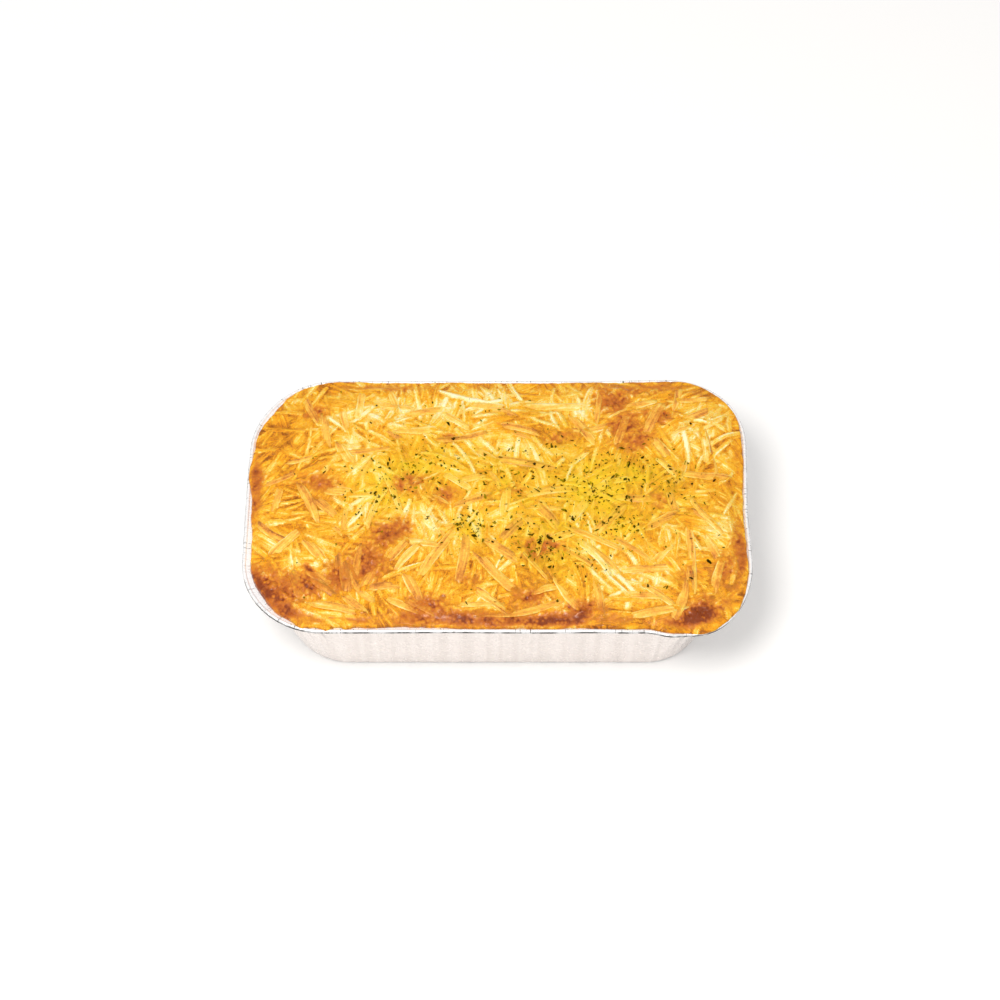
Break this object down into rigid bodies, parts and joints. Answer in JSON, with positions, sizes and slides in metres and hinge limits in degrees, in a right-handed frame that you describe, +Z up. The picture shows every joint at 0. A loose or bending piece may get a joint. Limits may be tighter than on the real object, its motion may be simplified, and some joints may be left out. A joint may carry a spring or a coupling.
{
  "type": "foil tray meal",
  "caption": "Rectangular foil tray with rounded corners and a rolled rim, filled to overflowing with a baked meal under melted, browned shredded cheese and herb flecks.",
  "frame": {"origin": "centre of the tray's footprint, on the surface that the tray stands on", "axes": "+X along the tray's length, +Y across its width, away from the viewer of the picture, +Z up"},
  "size_m": [0.2, 0.1215, 0.0527],
  "materials": {
    "foil": "bright pressed foil, lightly creased",
    "baked_cheese": "oily melted cheese, golden yellow with brown blistered patches and dark green herb flecks"
  },
  "bodies": {
    "root": {"foil_tray": "foil", "baked_meal": "baked_cheese"}
  },
  "joints": []
}
